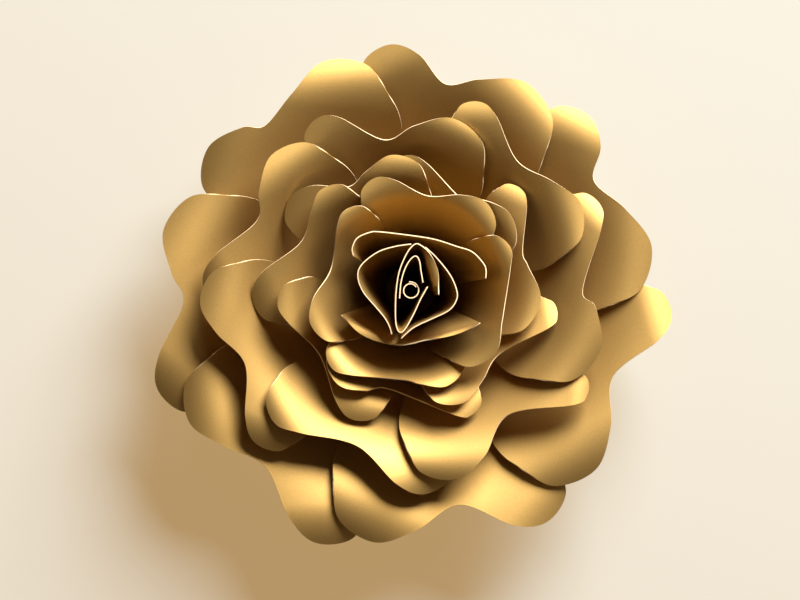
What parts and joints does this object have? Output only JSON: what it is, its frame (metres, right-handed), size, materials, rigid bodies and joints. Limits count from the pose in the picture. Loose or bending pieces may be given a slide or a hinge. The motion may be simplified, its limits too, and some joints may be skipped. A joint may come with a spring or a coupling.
{
  "type": "paper rose ornament",
  "caption": "Giant rose of curled pearlescent card petals in overlapping rings round a rolled bud, on a flat card disc.",
  "frame": {"origin": "centre of the base disc's flat back", "axes": "+Z out of the flower's face, along the axis of its bud; +X and +Y across it, +Y toward the upper edge of the picture"},
  "size_m": [0.249, 0.2411, 0.084],
  "materials": {
    "gold_card": "satin",
    "backing_card": "matte"
  },
  "bodies": {
    "root": {"base_disc": "backing_card", "bud_petal_left": "gold_card", "bud_petal_right": "gold_card", "bud_wrap_inner": "gold_card", "bud_wrap_outer": "gold_card", "core_roll": "gold_card", "cup_petal_bottom": "gold_card", "cup_petal_top": "gold_card", "heart_petal_bottom": "gold_card", "heart_petal_left": "gold_card", "heart_petal_right": "gold_card", "heart_petal_top": "gold_card", "outer_petal_1": "gold_card", "outer_petal_2": "gold_card", "outer_petal_3": "gold_card", "outer_petal_4": "gold_card", "outer_petal_5": "gold_card", "outer_petal_6": "gold_card", "outer_petal_7": "gold_card", "second_petal_1": "gold_card", "second_petal_2": "gold_card", "second_petal_3": "gold_card", "second_petal_4": "gold_card", "second_petal_5": "gold_card", "second_petal_6": "gold_card", "second_petal_7": "gold_card", "third_petal_1": "gold_card", "third_petal_2": "gold_card", "third_petal_3": "gold_card", "third_petal_4": "gold_card", "third_petal_5": "gold_card", "third_petal_6": "gold_card", "third_petal_7": "gold_card"}
  },
  "joints": []
}
